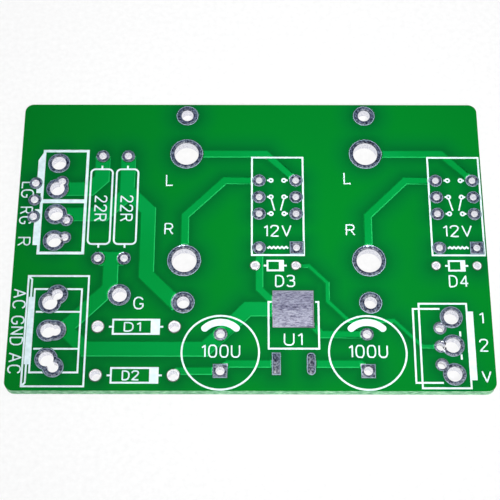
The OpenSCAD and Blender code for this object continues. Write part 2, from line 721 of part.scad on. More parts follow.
module rounded_2d(half, r) {
    square([2 * half.x, 2 * (half.y - r)], center = true);
    square([2 * (half.x - r), 2 * half.y], center = true);
    for (x = [-1, 1]) for (y = [-1, 1]) translate([x * (half.x - r), y * (half.y - r)]) circle(r = r);
}

// A body with a band at its cathode and a short lead at each end
module diode_2d(ends, body, band, lead) {
    translate((ends[0] + ends[1]) / 2) {
        frame_2d(-body / 2, body / 2);
        area([body.x / 2 - band, -body.y / 2], body / 2);
        for (s = [-1, 1]) stroke([[s * body.x / 2, 0], [s * (body.x / 2 + lead), 0]]);
    }
}

module rectifier_legend(i) legend()
    diode_2d(rectifier(i), [rectifier_body_l, rectifier_body_w], 1.1, 0.55);

module relay_diode_legend(i) legend()
    diode_2d(relay_diode(i), [relay_diode_body_l, relay_diode_body_w], 0.55, 0.5);

// A circle, with a broad arc over the negative lead
module capacitor_legend(i) legend() {
    arc_r = 3;
    arc_drop = 1.2;                                // of the arc's centre above the circle's
    arc_half = 44;                                 // degrees each side of upright
    translate((capacitor(i)[0] + capacitor(i)[1]) / 2) {
        difference() {
            circle(d = capacitor_d + line_w, $fn = 96);
            circle(d = capacitor_d - line_w, $fn = 96);
        }
        translate([0, arc_drop]) {
            intersection() {
                difference() {
                    circle(r = arc_r + polarity_w / 2);
                    circle(r = arc_r - polarity_w / 2);
                }
                polygon([[0, 0], 2 * arc_r * [-sin(arc_half), cos(arc_half)],
                         2 * arc_r * [sin(arc_half), cos(arc_half)]]);
            }
            for (s = [-1, 1])
                translate(arc_r * [s * sin(arc_half), cos(arc_half)]) circle(d = polarity_w);
        }
    }
}

// The regulator's body, open where its tab comes out
module regulator_legend() legend() {
    side = regulator_body_w / 2;
    hook = 0.42;
    top_y = 0.98;                                  // of the hooks above the tab's middle
    foot_y = top_y - regulator_body_l;
    translate(regulator_middle)
        stroke([[-side + hook, top_y], [-side, top_y], [-side, foot_y], [side, foot_y],
                [side, top_y], [side - hook, top_y]]);
}

// The relay's outline, its two change-over contacts and its coil
module relay_legend(i) legend() {
    body_foot = 1.11;                              // of the outline below the coil pins
    dot_x = 0.9;
    dot_r = 0.36;
    stub_x = 1.42;
    arm_tip = [0.42, 0.48];
    coil_x = 1.4;
    coil_high = 0.24;
    coil_turns = 5;
    translate(relay_middle(i)) {
        frame_2d([-relay_body_w / 2, -body_foot], [relay_body_w / 2, relay_body_l - body_foot]);
        for (s = [-1, 1]) {
            for (row = [REST:INPUT]) {
                translate([s * dot_x, relay_row_y(row)]) difference() {
                    circle(r = dot_r);
                    circle(r = 0.14);
                }
                stroke([[s * (dot_x + dot_r / 2), relay_row_y(row)], [s * stub_x, relay_row_y(row)]]);
            }
            stroke([[s * dot_x, relay_row_y(COMMON) - dot_r / 2],
                    [s * arm_tip.x, relay_row_y(REST) + arm_tip.y]], line_w * 0.8);
        }
        stroke([for (k = [0:2 * coil_turns])
                [coil_x * (k / coil_turns - 1), (k % 2 == 0 ? -0.5 : 0.5) * coil_high]]);
    }
}

laminate();
top_solder_mask();
bottom_solder_mask();
copper_net(left_output_net_parts);  // copper_left_output
copper_net(left_ground_net_parts);  // copper_left_ground
copper_net(right_ground_net_parts);  // copper_right_ground
copper_net(right_output_net_parts);  // copper_right_output
copper_net(supply_ground_net_parts);  // copper_supply_ground
copper_net(ac_net(0, 0));  // copper_ac_input_1
copper_net(ac_net(2, 1));  // copper_ac_input_2
copper_net(raw_supply_net_parts);  // copper_raw_supply
copper_net(regulated_supply_net_parts);  // copper_regulated_supply
copper_net(control_1_net_parts);  // copper_control_1
copper_net(control_2_net_parts);  // copper_control_2
copper_net(left_input_net(0));  // copper_relay_1_left_input
copper_net(right_input_net(0));  // copper_relay_1_right_input
copper_net(left_input_net(1));  // copper_relay_2_left_input
copper_net(right_input_net(1));  // copper_relay_2_right_input
copper_net(rest_net(0, LEFT));  // copper_relay_1_left_rest
copper_net(rest_net(0, RIGHT));  // copper_relay_1_right_rest
copper_net(rest_net(1, LEFT));  // copper_relay_2_left_rest
copper_net(rest_net(1, RIGHT));  // copper_relay_2_right_rest
output_plug_legend();
ac_terminal_legend();
control_plug_legend();
resistor_legend(0);  // resistor_1_legend
resistor_legend(1);  // resistor_2_legend
rectifier_legend(0);  // rectifier_1_legend
rectifier_legend(1);  // rectifier_2_legend
relay_diode_legend(0);  // relay_diode_1_legend
relay_diode_legend(1);  // relay_diode_2_legend
capacitor_legend(0);  // capacitor_1_legend
capacitor_legend(1);  // capacitor_2_legend
regulator_legend();
relay_legend(0);  // relay_1_legend
relay_legend(1);  // relay_2_legend
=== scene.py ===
# %% [markdown]
# # A bare relay board, dressed for its portrait
# The board is a glass-epoxy core with a net of tinned copper, a green solder mask and white printed
# outlines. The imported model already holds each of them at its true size, so this lesson keeps those
# shapes and gives them what a drawing lacks: solder with soft rims, a mask that turns paler over
# copper, uneven white ink, printed letters with a little body, and light.

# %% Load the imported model
import json
import math

import bpy
from mathutils import Matrix, Vector
from mathutils.bvhtree import BVHTree
from mathutils.kdtree import KDTree

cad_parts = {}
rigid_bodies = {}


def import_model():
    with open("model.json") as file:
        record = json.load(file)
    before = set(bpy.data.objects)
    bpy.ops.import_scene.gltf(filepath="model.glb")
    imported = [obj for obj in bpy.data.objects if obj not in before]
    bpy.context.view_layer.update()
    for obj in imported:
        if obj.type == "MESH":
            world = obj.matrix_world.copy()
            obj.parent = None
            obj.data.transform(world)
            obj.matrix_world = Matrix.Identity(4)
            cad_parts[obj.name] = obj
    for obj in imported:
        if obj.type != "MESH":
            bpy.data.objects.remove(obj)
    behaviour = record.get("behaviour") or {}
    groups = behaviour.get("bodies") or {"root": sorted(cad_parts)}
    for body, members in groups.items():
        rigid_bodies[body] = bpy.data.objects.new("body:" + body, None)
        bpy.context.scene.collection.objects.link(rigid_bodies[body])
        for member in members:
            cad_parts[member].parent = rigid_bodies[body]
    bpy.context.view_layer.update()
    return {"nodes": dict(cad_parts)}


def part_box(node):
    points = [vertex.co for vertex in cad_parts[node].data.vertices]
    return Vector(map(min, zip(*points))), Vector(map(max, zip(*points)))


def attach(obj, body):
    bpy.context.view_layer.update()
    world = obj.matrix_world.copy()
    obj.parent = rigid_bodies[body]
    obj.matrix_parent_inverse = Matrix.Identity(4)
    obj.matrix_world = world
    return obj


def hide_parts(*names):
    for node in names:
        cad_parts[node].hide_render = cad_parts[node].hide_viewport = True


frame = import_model()
nodes = frame["nodes"]
MM = 0.001
print("nodes:", len(nodes))

# %% [markdown]
# ## Working in millimetres
# A circuit board's layers are a few hundredths of a millimetre thick, and some of Blender's tools
# merge or skip points that are so close in metres. Each piece is therefore shaped at a thousand
# times its size, where a unit is a millimetre, and brought down to its real size at the end.

# %% Helpers for selecting and copying
UNITS_PER_METRE = 1000
SAME_POINT = 0.0005


def deselect_all():
    for o in bpy.context.scene.objects:
        o.select_set(False)


def make_active(piece):
    deselect_all()
    piece.select_set(True)
    bpy.context.view_layer.objects.active = piece


def rescale(piece, factor):
    piece.data.transform(Matrix.Scale(factor, 4))


def choose_faces(piece, test):
    """Selects the faces that pass the test, in object mode, and returns how many they are."""
    bpy.ops.object.mode_set(mode="OBJECT")
    mesh = piece.data
    for kind in (mesh.vertices, mesh.edges, mesh.polygons):
        kind.foreach_set("select", [False] * len(kind))
    chosen = [p for p in mesh.polygons if test(p)]
    for p in chosen:
        p.select = True
    return len(chosen)


def inset_faces(piece, test, thickness):
    """Insets the faces that pass the test, all as one, and leaves the inner ones selected."""
    count = choose_faces(piece, test)
    bpy.ops.object.mode_set(mode="EDIT")
    bpy.ops.mesh.select_mode(type="FACE")
    bpy.ops.mesh.inset(thickness=thickness, depth=0.0, use_even_offset=True, use_boundary=True)
    bpy.ops.object.mode_set(mode="OBJECT")
    return count


def points_of(faces):
    """The numbers of the vertices that these faces have."""
    return {v for p in faces for v in p.vertices}


def merged_copy(source, name):
    """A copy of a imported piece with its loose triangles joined, where a unit is a millimetre."""
    piece = source.copy()
    piece.data = source.data.copy()
    piece.name = name
    for key in list(piece.keys()):
        del piece[key]
    piece.parent = None
    bpy.context.scene.collection.objects.link(piece)
    make_active(piece)
    rescale(piece, UNITS_PER_METRE)
    bpy.ops.object.mode_set(mode="EDIT")
    bpy.ops.mesh.select_all(action="SELECT")
    bpy.ops.mesh.remove_doubles(threshold=SAME_POINT)
    bpy.ops.object.mode_set(mode="OBJECT")
    return piece


# %% [markdown]
# ## Colours and finishes
# Colours are easiest to judge as they look on a screen, and Blender's sockets want them linear, so
# one helper turns the first kind into the second. A finish is then a chain of small nodes, and a
# helper for each kind of node keeps the chain short to read. Patterns follow a place on the piece in
# millimetres, so that they stay with it wherever it goes.

# %% Colours and a bare material
BLACK = (0, 0, 0, 1)
WHITE = (1, 1, 1, 1)


def seen(red, green, blue):
    """A colour as it looks on a screen, 0 to 255, made linear."""
    out = []
    for c in (red, green, blue):
        c /= 255
        out.append(c / 12.92 if c <= 0.04045 else ((c + 0.055) / 1.055) ** 2.4)
    return (*out, 1.0)


def stretched(tree, place, along_x, along_y, along_z=1.0):
    """A place multiplied along each axis, which squeezes a pattern there."""
    node = tree.nodes.new("ShaderNodeMapping")
    node.inputs["Scale"].default_value = (along_x, along_y, along_z)
    tree.links.new(place, node.inputs["Vector"])
    return node.outputs["Vector"]


def bare_material(name):
    """A new material with its node tree, its shader, and a place on the piece in millimetres."""
    finish = bpy.data.materials.new(name)
    finish.use_nodes = True
    tree = finish.node_tree
    shader = next(n for n in tree.nodes if n.type == "BSDF_PRINCIPLED")
    where = tree.nodes.new("ShaderNodeTexCoord").outputs["Object"]
    place = stretched(tree, where, UNITS_PER_METRE, UNITS_PER_METRE, UNITS_PER_METRE)
    return finish, tree, shader, place


def dress(piece, *finishes):
    """Gives a piece these finishes in place of any that it had."""
    piece.data.materials.clear()
    for finish in finishes:
        piece.data.materials.append(finish)


# %% Nodes that read a place or a value
def attribute_of(tree, name):
    node = tree.nodes.new("ShaderNodeAttribute")
    node.attribute_name = name
    return node.outputs["Fac"]


def part_of(tree, vector, axis):
    """One part of a vector: X, Y or Z."""
    node = tree.nodes.new("ShaderNodeSeparateXYZ")
    tree.links.new(vector, node.inputs["Vector"])
    return node.outputs[axis]


def outward(tree, axis):
    """How far the surface faces along an axis, from -1 to 1."""
    return part_of(tree, tree.nodes.new("ShaderNodeNewGeometry").outputs["Normal"], axis)


def noise(tree, place, scale, detail=3.0, roughness=0.5):
    node = tree.nodes.new("ShaderNodeTexNoise")
    node.inputs["Scale"].default_value = scale
    node.inputs["Detail"].default_value = detail
    node.inputs["Roughness"].default_value = roughness
    tree.links.new(place, node.inputs["Vector"])
    return node.outputs["Fac"]


# %% Nodes that mix and shape
def feed(tree, socket, value):
    """Gives a socket its value, which is another socket or a plain one."""
    if isinstance(value, bpy.types.NodeSocket):
        tree.links.new(value, socket)
    else:
        socket.default_value = value


def mix(tree, factor, first, second):
    """Mixes two colours, each of them a socket or a plain one. The node's sockets 6 and 7 take them."""
    node = tree.nodes.new("ShaderNodeMix")
    node.data_type = "RGBA"
    for number, value in ((0, factor), (6, first), (7, second)):
        feed(tree, node.inputs[number], value)
    return node.outputs[2]


def maths(tree, kind, first, second=0.0, third=0.0, clamp=False):
    node = tree.nodes.new("ShaderNodeMath")
    node.operation = kind
    node.use_clamp = clamp
    for socket, value in zip(node.inputs, (first, second, third)):
        feed(tree, socket, value)
    return node.outputs[0]


def is_about(tree, value, target, slack=0.1):
    """1 where the value is as near to the target as the slack, and 0 elsewhere."""
    return maths(tree, "COMPARE", value, target, slack)


def ramp(tree, factor, *stops):
    """A colour ramp from pairs of place and colour."""
    node = tree.nodes.new("ShaderNodeValToRGB")
    while len(node.color_ramp.elements) < len(stops):
        node.color_ramp.elements.new(0.5)
    for element, (place, colour) in zip(node.color_ramp.elements, stops):
        element.position = place
        element.color = colour
    tree.links.new(factor, node.inputs["Fac"])
    return node.outputs["Color"]


def shades(tree, factor, *stops):
    """A ramp between colours as they look on a screen."""
    return ramp(tree, factor, *[(place, seen(*colour)) for place, colour in stops])


def fade(tree, factor, low, high):
    """A ramp from 0 at the low place to 1 at the high one."""
    return ramp(tree, factor, (low, BLACK), (high, WHITE))


def bump(tree, shader, height, strength, distance):
    """Waves on the surface, where the distance is in millimetres."""
    node = tree.nodes.new("ShaderNodeBump")
    node.inputs["Strength"].default_value = strength
    node.inputs["Distance"].default_value = distance * MM
    tree.links.new(height, node.inputs["Height"])
    tree.links.new(node.outputs["Normal"], shader.inputs["Normal"])


# %% [markdown]
# ## Solder mask
# Mask is a clear green lacquer. Over copper it looks pale, because the metal sends the light back.
# Over bare core it is deeper, and deepest beside a track or a pad. A track's lacquer stands 25
# micrometres above the rest and slopes down towards it. A slope that faces the front or the right is
# painted as a fine bright line, a painted highlight, and the others are painted darker than the
# track, as painted shade. A material can't see where the copper is, so each sheet of mask carries
# two attributes that say so. The first is painted by face: the tops of the ridges are found by their
# height, and an inset parts them from the slopes.

# %% Finding the copper under the mask
MASK_STEP = 0.025
MASK_SIDE = 0.14
SLOPE_DROP = 0.02
FLAT_NORMAL = 0.9
SAME_HEIGHT = 0.004
FACING = 0.01
OVER_COPPER = 1.0
# The mask's slopes get two values: one for a painted highlight where they face the front or the right,
# one for painted shade elsewhere.
PAINTED_HIGHLIGHT_SIDE = 0.75
PAINTED_SHADE_SIDE = 0.5
top_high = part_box("top_solder_mask")[1]
under_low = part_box("bottom_solder_mask")[0]
middle = (top_high.z + under_low.z) / 2 / MM
over_copper = (top_high.z - under_low.z) / 2 / MM
over_core = over_copper - MASK_STEP
print("mask over copper lies", round(over_copper, 4), "mm from the middle plane")


def is_ridge_top(p):
    height = abs(p.center.z - middle)
    return abs(p.normal.z) > FLAT_NORMAL and abs(height - over_copper) < SAME_HEIGHT


def paint_copper(piece):
    """Insets the tops of the ridges, slopes their sides towards the core, and paints both."""
    count = inset_faces(piece, is_ridge_top, MASK_SIDE)
    mesh = piece.data
    tops = [p for p in mesh.polygons if p.select]
    sides = [p.index for p in mesh.polygons if is_ridge_top(p) and not p.select]
    for v in points_of(mesh.polygons[i] for i in sides) - points_of(tops):
        co = mesh.vertices[v].co
        co.z -= math.copysign(SLOPE_DROP, co.z - middle)
    mesh.update()
    attribute = mesh.attributes.new("copper", "FLOAT", "FACE")
    for p in mesh.polygons:
        if p.select:
            attribute.data[p.index].value = OVER_COPPER
    # A slope that faces the front or the right is marked for a painted highlight, any other for painted
    # shade.
    for i in sides:
        normal = mesh.polygons[i].normal
        gets_painted_highlight = normal.x - normal.y > FACING
        attribute.data[i].value = PAINTED_HIGHLIGHT_SIDE if gets_painted_highlight else PAINTED_SHADE_SIDE
    return count


# %% [markdown]
# The second attribute says how near a point is to a track or a pad. A sheet's big faces have no
# points inside them to paint, so the sheet is first sliced with upright planes into small cells. The
# distance is measured to points set close together along every upright wall, apart from the board's
# own outline.

# %% Measuring how near the copper is
TOP_CELL = 0.7
UNDER_CELL = 1.4
CORNER = 1.2
OUTLINE_SLACK = 0.03
UPRIGHT_NORMAL = 0.5
WALL_STEP = 0.15
REACH = 3.2
half_l = top_high.x / MM
half_w = top_high.y / MM


def slice_into_cells(piece, cell):
    bpy.ops.object.mode_set(mode="EDIT")
    for half, direction in ((half_l, Vector((1, 0, 0))), (half_w, Vector((0, 1, 0)))):
        for i in range(1, int(2 * half / cell) + 1):
            bpy.ops.mesh.select_all(action="SELECT")
            bpy.ops.mesh.bisect(plane_co=direction * (i * cell - half), plane_no=direction)
    bpy.ops.object.mode_set(mode="OBJECT")


def on_outline(x, y):
    """Whether a point lies on the board's own rounded outline."""
    corner_x = max(abs(x) - (half_l - CORNER), 0)
    corner_y = max(abs(y) - (half_w - CORNER), 0)
    return math.hypot(corner_x, corner_y) > CORNER - OUTLINE_SLACK


def steps_between(a, b, step):
    """Points on the way from a to b, about a step apart, with both ends."""
    (ax, ay), (bx, by) = a, b
    count = max(1, int(math.hypot(bx - ax, by - ay) / step))
    return [(ax + (bx - ax) * i / count, ay + (by - ay) * i / count) for i in range(count + 1)]


def wall_points(mesh):
    """Points along the edges of every upright wall, apart from the board's own outline."""
    points = set()
    for p in mesh.polygons:
        if abs(p.normal.z) > UPRIGHT_NORMAL:
            continue
        for a, b in p.edge_keys:
            for x, y in steps_between(mesh.vertices[a].co[:2], mesh.vertices[b].co[:2], WALL_STEP):
                if not on_outline(x, y):
                    points.add((round(x, 2), round(y, 2)))
    return sorted(points)


def paint_nearness(piece):
    """Paints 1 at a wall, falling to 0 at the reach, and returns how many points it measured to."""
    mesh = piece.data
    walls = wall_points(mesh)
    tree = KDTree(len(walls))
    for i, (x, y) in enumerate(walls):
        tree.insert((x, y, 0), i)
    tree.balance()
    attribute = mesh.attributes.new("near", "FLOAT", "POINT")
    for v in mesh.vertices:
        away = tree.find((v.co.x, v.co.y, 0))[2]
        attribute.data[v.index].value = max(0.0, 1 - away / REACH)
    return len(walls)


# %% [markdown]
# The finish then mixes its greens by the two attributes. A broad, weak noise keeps the sheet from
# looking printed, a fine one gives it a grain, and the gloss is low, because a soft light from all
# sides leaves no glare on it.

# %% Solder mask's finish
DRIFT_FROM = 0.4
DRIFT_SHARE = 0.5
GRAIN_SHARE = 0.08
mask_finish, tree, shader, place = bare_material("green_solder_mask")
near = attribute_of(tree, "near")
copper = attribute_of(tree, "copper")
broad = noise(tree, place, 0.06, 1.0)
fine = noise(tree, place, 6.0, 2.0)
core_green = shades(
    tree, near, (0.05, (0, 110, 30)), (0.35, (0, 107, 33)), (0.65, (0, 101, 35)), (0.95, (0, 89, 34))
)
copper_green = shades(tree, broad, (0.36, (0, 125, 49)), (0.5, (0, 130, 54)), (0.64, (2, 136, 60)))
green = mix(tree, is_about(tree, copper, OVER_COPPER), core_green, copper_green)
# The slopes are painted a darker green as painted shade, and a light green as a painted highlight.
green = mix(tree, is_about(tree, copper, PAINTED_SHADE_SIDE), green, seen(0, 104, 38))
green = mix(tree, is_about(tree, copper, PAINTED_HIGHLIGHT_SIDE), green, seen(26, 160, 80))
patches = maths(tree, "SUBTRACT", broad, DRIFT_FROM, clamp=True)
drift = maths(tree, "MULTIPLY", patches, DRIFT_SHARE, clamp=True)
green = mix(tree, drift, green, seen(0, 96, 36))
green = mix(tree, maths(tree, "MULTIPLY", fine, GRAIN_SHARE), green, seen(0, 84, 30))
tree.links.new(green, shader.inputs["Base Color"])
shader.inputs["Roughness"].default_value = 0.2
shader.inputs["Specular IOR Level"].default_value = 0.06
bump(tree, shader, noise(tree, place, 1.6, 2.0), 0.12, 0.02)
print("material:", mask_finish.name)

# %% [markdown]
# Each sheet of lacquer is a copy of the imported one, and takes its place. The under sheet is seen
# only from below, so it makes do with cells twice as wide.

# %% Two sheets of lacquer
for name, cell in (("top_solder_mask", TOP_CELL), ("bottom_solder_mask", UNDER_CELL)):
    sheet = merged_copy(nodes[name], name.replace("solder_mask", "lacquer"))
    ridges = paint_copper(sheet)
    slice_into_cells(sheet, cell)
    walls = paint_nearness(sheet)
    dress(sheet, mask_finish)
    rescale(sheet, MM)
    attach(sheet, "root")
    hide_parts(name)
    print(sheet.name, "ridge faces:", ridges, "wall points:", walls, "faces:", len(sheet.data.polygons))

# %% [markdown]
# ## Glass-epoxy core
# Only the core's cut edge and a hair of it round each pad can be seen. Its edge is pale and a little
# green, with fine level lines where the layers of glass cloth end. A noise that is squeezed along
# the board's height gives those lines. The hair round a pad is level, and is painted dark green as
# painted shade in the narrow gap between the pad and the mask.

# %% Core's finish
LEVEL_FROM = 0.7
core_finish, tree, shader, place = bare_material("glass_epoxy_core")
cloth = noise(tree, stretched(tree, place, 1.4, 1.4, 7.0), 1.0, 3.0)
cut_edge = shades(tree, cloth, (0.35, (46, 118, 74)), (0.5, (82, 156, 110)), (0.65, (156, 202, 164)))
level_in_painted_shade = maths(tree, "GREATER_THAN", maths(tree, "ABSOLUTE", outward(tree, "Z")), LEVEL_FROM)
# The level faces round each pad are painted dark green as painted shade in the gap beside the pad.
tree.links.new(mix(tree, level_in_painted_shade, cut_edge, seen(24, 62, 40)), shader.inputs["Base Color"])
shader.inputs["Roughness"].default_value = 0.55
bump(tree, shader, cloth, 0.3, 0.03)
dress(nodes["laminate"], core_finish)
print("material:", core_finish.name)

# %% [markdown]
# ## Printed ink
# The legend is a thick white epoxy ink. The mask shines faintly through it, and it is never quite
# even, so its white is a little cool, with a slow drift and a fine grain.

# %% Ink's finish
ink_finish, tree, shader, place = bare_material("legend_ink")
patchy = noise(tree, place, 1.3, 4.0, 0.6)
ink_white = shades(tree, patchy, (0.35, (191, 210, 215)), (0.5, (201, 219, 223)), (0.65, (211, 227, 231)))
tree.links.new(ink_white, shader.inputs["Base Color"])
shader.inputs["Roughness"].default_value = 0.5
shader.inputs["Specular IOR Level"].default_value = 0.3
bump(tree, shader, noise(tree, place, 12.0, 2.0), 0.25, 0.01)
legends = [n for n in sorted(nodes) if n.endswith("_legend")]
for name in legends:
    dress(nodes[name], ink_finish)
print("legends:", len(legends))

# %% [markdown]
# ## Solder
# Pads are levelled with hot air, which leaves a skin of solder with small waves and bright specks in
# it. Towards a pad's rims its colour is painted darker and a little blue, partly for the thinner
# solder there and partly as painted shade, and at the outer edge a fine pale line is a painted
# highlight. One noise makes the waves by a bump, another the specks, and the rims are read from an
# attribute that a later step paints on each pad: it is 1 at the outer edge, small at a hole, and 0
# on the flat.

# %% Solder's finish
RIM_SHADE_SHARE = 0.5
METAL_LOST_AT_EDGE = 0.75
solder_finish, tree, shader, place = bare_material("levelled_solder")
rim = attribute_of(tree, "rim")
ripple = noise(tree, place, 2.6, 3.0, 0.6)
mottle = noise(tree, place, 3.4, 3.0, 0.7)
skin = shades(tree, mottle, (0.38, (70, 70, 88)), (0.5, (178, 180, 194)), (0.6, (246, 248, 252)))
# Painted shade, partly thin solder: the rims are mixed towards a dark blue.
painted_rim_shade = maths(tree, "MULTIPLY", fade(tree, rim, 0.05, 0.25), RIM_SHADE_SHARE)
skin = mix(tree, painted_rim_shade, skin, seen(66, 76, 100))
# Painted highlight: a fine pale line at the outer edge, where the metal is also turned down.
painted_edge_highlight = fade(tree, rim, 0.56, 0.72)
tree.links.new(mix(tree, painted_edge_highlight, skin, seen(150, 174, 190)), shader.inputs["Base Color"])
metal = maths(tree, "MULTIPLY_ADD", painted_edge_highlight, -METAL_LOST_AT_EDGE, 1.0)
tree.links.new(metal, shader.inputs["Metallic"])
shader.inputs["Roughness"].default_value = 0.3
bump(tree, shader, ripple, 0.5, 0.06)
print("material:", solder_finish.name)

# %% [markdown]
# The small pads of the diodes carry much solder for their size, so it stands in a bright dome. A thin
# dark line of painted shadow runs round its foot and fades out towards the back.

# %% Domed solder's finish
FOOT_SHADOW_SHARE = 0.85
FADE_BEHIND = -3.5
dome_finish, tree, shader, place = bare_material("domed_solder")
rim = attribute_of(tree, "rim")
mottle = noise(tree, place, 2.4, 2.0, 0.6)
skin = shades(tree, mottle, (0.36, (196, 200, 200)), (0.5, (238, 241, 240)), (0.62, (252, 253, 253)))
# Painted shadow: a dark line round the dome's foot, strongest at the front and fading towards the back.
foot_shadow_in_front = maths(tree, "MULTIPLY_ADD", outward(tree, "Y"), FADE_BEHIND, FOOT_SHADOW_SHARE, clamp=True)
line = maths(tree, "MULTIPLY", fade(tree, rim, 0.06, 0.16), foot_shadow_in_front)
tree.links.new(mix(tree, line, skin, seen(34, 60, 42)), shader.inputs["Base Color"])
shader.inputs["Metallic"].default_value = 0.25
shader.inputs["Roughness"].default_value = 0.3
bump(tree, shader, mottle, 0.4, 0.05)
print("material:", dome_finish.name)

# %% [markdown]
# The wall of a plated hole is bright all the way down, because it mirrors the table under the board.
# It gets a plainer metal of its own, so that its reflection stays clear.

# %% Plated wall's finish
wall_finish, tree, shader, place = bare_material("plated_wall")
grain = noise(tree, place, 5.0, 2.0)
plating = shades(tree, grain, (0.35, (204, 206, 220)), (0.6, (240, 240, 246)))
tree.links.new(plating, shader.inputs["Base Color"])
shader.inputs["Metallic"].default_value = 1.0
shader.inputs["Roughness"].default_value = 0.22
bump(tree, shader, grain, 0.2, 0.02)
print("material:", wall_finish.name)

# %% [markdown]
# The big land for the regulator's tab has fine level streaks and broader bands, as from a squeegee.
# Two noises that are stretched along the board's length make them. A fine pale line along its outer
# edge is a painted highlight.

# %% Streaked solder's finish
BAND_SHARE = 0.22
BAND_SHIFT = -0.1
land_finish, tree, shader, place = bare_material("streaked_solder")
streaks = noise(tree, stretched(tree, place, 1.2, 4.6), 1.5, 5.0, 0.75)
bands = noise(tree, stretched(tree, place, 0.05, 1.0), 0.9, 1.0)
scrapes = maths(tree, "ADD", streaks, maths(tree, "MULTIPLY_ADD", bands, BAND_SHARE, BAND_SHIFT))
skin = shades(tree, scrapes, (0.34, (84, 80, 108)), (0.47, (172, 169, 194)), (0.58, (226, 225, 236)))
# Painted highlight: a fine pale line along the land's outer edge.
painted_edge_highlight = fade(tree, attribute_of(tree, "rim"), 0.64, 0.8)
tree.links.new(mix(tree, painted_edge_highlight, skin, seen(236, 236, 244)), shader.inputs["Base Color"])
shader.inputs["Metallic"].default_value = 0.85
shader.inputs["Roughness"].default_value = 0.42
bump(tree, shader, streaks, 0.3, 0.03)
print("material:", land_finish.name)

# %% [markdown]
# ## Pads with soft rims
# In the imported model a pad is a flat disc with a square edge. On the real board surface tension
# draws the solder down at the outside and at the hole. Each net's mesh is copied and merged, its pads
# are found by their height, and an inset gives each a rim. A narrow ring has room for a narrow rim
# only, so the pads are sorted by the width of their rings first. Twice a ring's area over the length
# of its borders is that width.

# %% Finding the pads and their widths
PAD_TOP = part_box("copper_left_output")[1].z / MM
WIDEST_RING = 0.6


def flat_faces(mesh, height, up):
    """The faces that lie flat at this height and face up, or down where up is -1."""
    return {
        p.index: p
        for p in mesh.polygons
        if p.normal.z * up > FLAT_NORMAL and abs(p.center.z - height) < SAME_HEIGHT
    }


def pads_by_width(piece, height, up):
    """Groups the flat faces of each pad, and sorts the pads by the width of their rings."""
    mesh = piece.data
    flat = flat_faces(mesh, height, up)
    by_edge = {}
    for i, p in flat.items():
        for key in p.edge_keys:
            by_edge.setdefault(key, []).append(i)
    by_width, done = {}, set()
    for first in flat:
        if first in done:
            continue
        pad, queue, border = set(), [first], 0.0
        while queue:
            i = queue.pop()
            if i in pad:
                continue
            pad.add(i)
            for key in flat[i].edge_keys:
                if len(by_edge[key]) == 1:
                    a, b = (mesh.vertices[v].co for v in key)
                    border += (a - b).length
                queue += by_edge[key]
        done |= pad
        width = 2 * sum(flat[i].area for i in pad) / border
        by_width.setdefault(round(min(width, WIDEST_RING), 1), []).append(pad)
    return by_width


print("pads stand", round(PAD_TOP, 4), "mm above the board's underside")

# %% [markdown]
# The rim's outer points are lowered by hundredths of a millimetre, and smooth shading rolls the
# light over it. An inset gives the faces new numbers, so the pads are found again for each width.
# The narrow ones come first, because what an inset leaves is narrower still, and isn't met again.

# %% Lowering the rims on one side
RIM_SHARE = 0.4
RIM_SLOPE = 0.2


def soften_side(piece, height, up):
    """Insets the pads on one side and lowers their rims. Returns the numbers of the rims' points."""
    rim = set()
    mesh = piece.data
    for width in sorted(pads_by_width(piece, height, up)):
        faces = set().union(*pads_by_width(piece, height, up).get(width, []))
        inset = width * RIM_SHARE
        inset_faces(piece, lambda p: p.index in faces, inset)
        inner = points_of(p for p in mesh.polygons if p.select)
        outside = [p for p in mesh.polygons if not p.select and abs(p.normal.z) > FLAT_NORMAL]
        beside = [p for p in outside if any(v in inner for v in p.vertices)]
        lowered = points_of(beside) - inner
        for v in lowered:
            mesh.vertices[v].co.z -= up * inset * RIM_SLOPE
        rim |= lowered
        mesh.update()
    return rim


print("a rim takes", RIM_SHARE, "of its ring's width and drops", RIM_SLOPE, "of its own")

# %% [markdown]
# The diodes' pads are known by their place and form: they are small and round, they lie in front of
# the relays, and they stand outside the printed circles of the capacitors.

# %% Finding the diodes' pads
DIODE_PAD_HALF = 1.05
ROUND_WITHIN = 1.2
BEHIND_DIODES = -3
circles = [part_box(f"capacitor_{i}_legend") for i in (1, 2)]


def in_circle(x, y):
    return any(low.x < x * MM < high.x and low.y < y * MM < high.y for low, high in circles)


def diode_pads(piece, height, up):
    """The middles of the diodes' pads."""
    middles = []
    mesh = piece.data
    for pad in sum(pads_by_width(piece, height, up).values(), []):
        points = [mesh.vertices[v].co for i in pad for v in mesh.polygons[i].vertices]
        xs, ys = [p.x for p in points], [p.y for p in points]
        x, y = (min(xs) + max(xs)) / 2, (min(ys) + max(ys)) / 2
        half = max(max(xs) - min(xs), max(ys) - min(ys)) / 2
        is_round = max(math.hypot(p.x - x, p.y - y) for p in points) < ROUND_WITHIN * half
        if half < DIODE_PAD_HALF and is_round and y < BEHIND_DIODES and not in_circle(x, y):
            middles.append((x, y))
    return middles


print("printed circles:", len(circles))

# %% [markdown]
# A net is then dressed and painted. Its outer rims carry 1 and the rims at its holes less, its walls
# are the faces that run through the board, and its domes are the diodes' pads. A face without a
# number of its own has the first finish, the plain solder.

# %% Softening the nets
SMOOTH_UP_TO = 35
WALL_HEIGHT = 1
DOME_REACH = 1.4
OUTER_RIM = 1.0
HOLE_RIM = 0.3
DOMED_HOLE_RIM = 0.0
WALL, DOME, LAND = 1, 2, 3


def is_wall(mesh, p):
    heights = [mesh.vertices[v].co.z for v in p.vertices]
    return max(heights) - min(heights) > WALL_HEIGHT


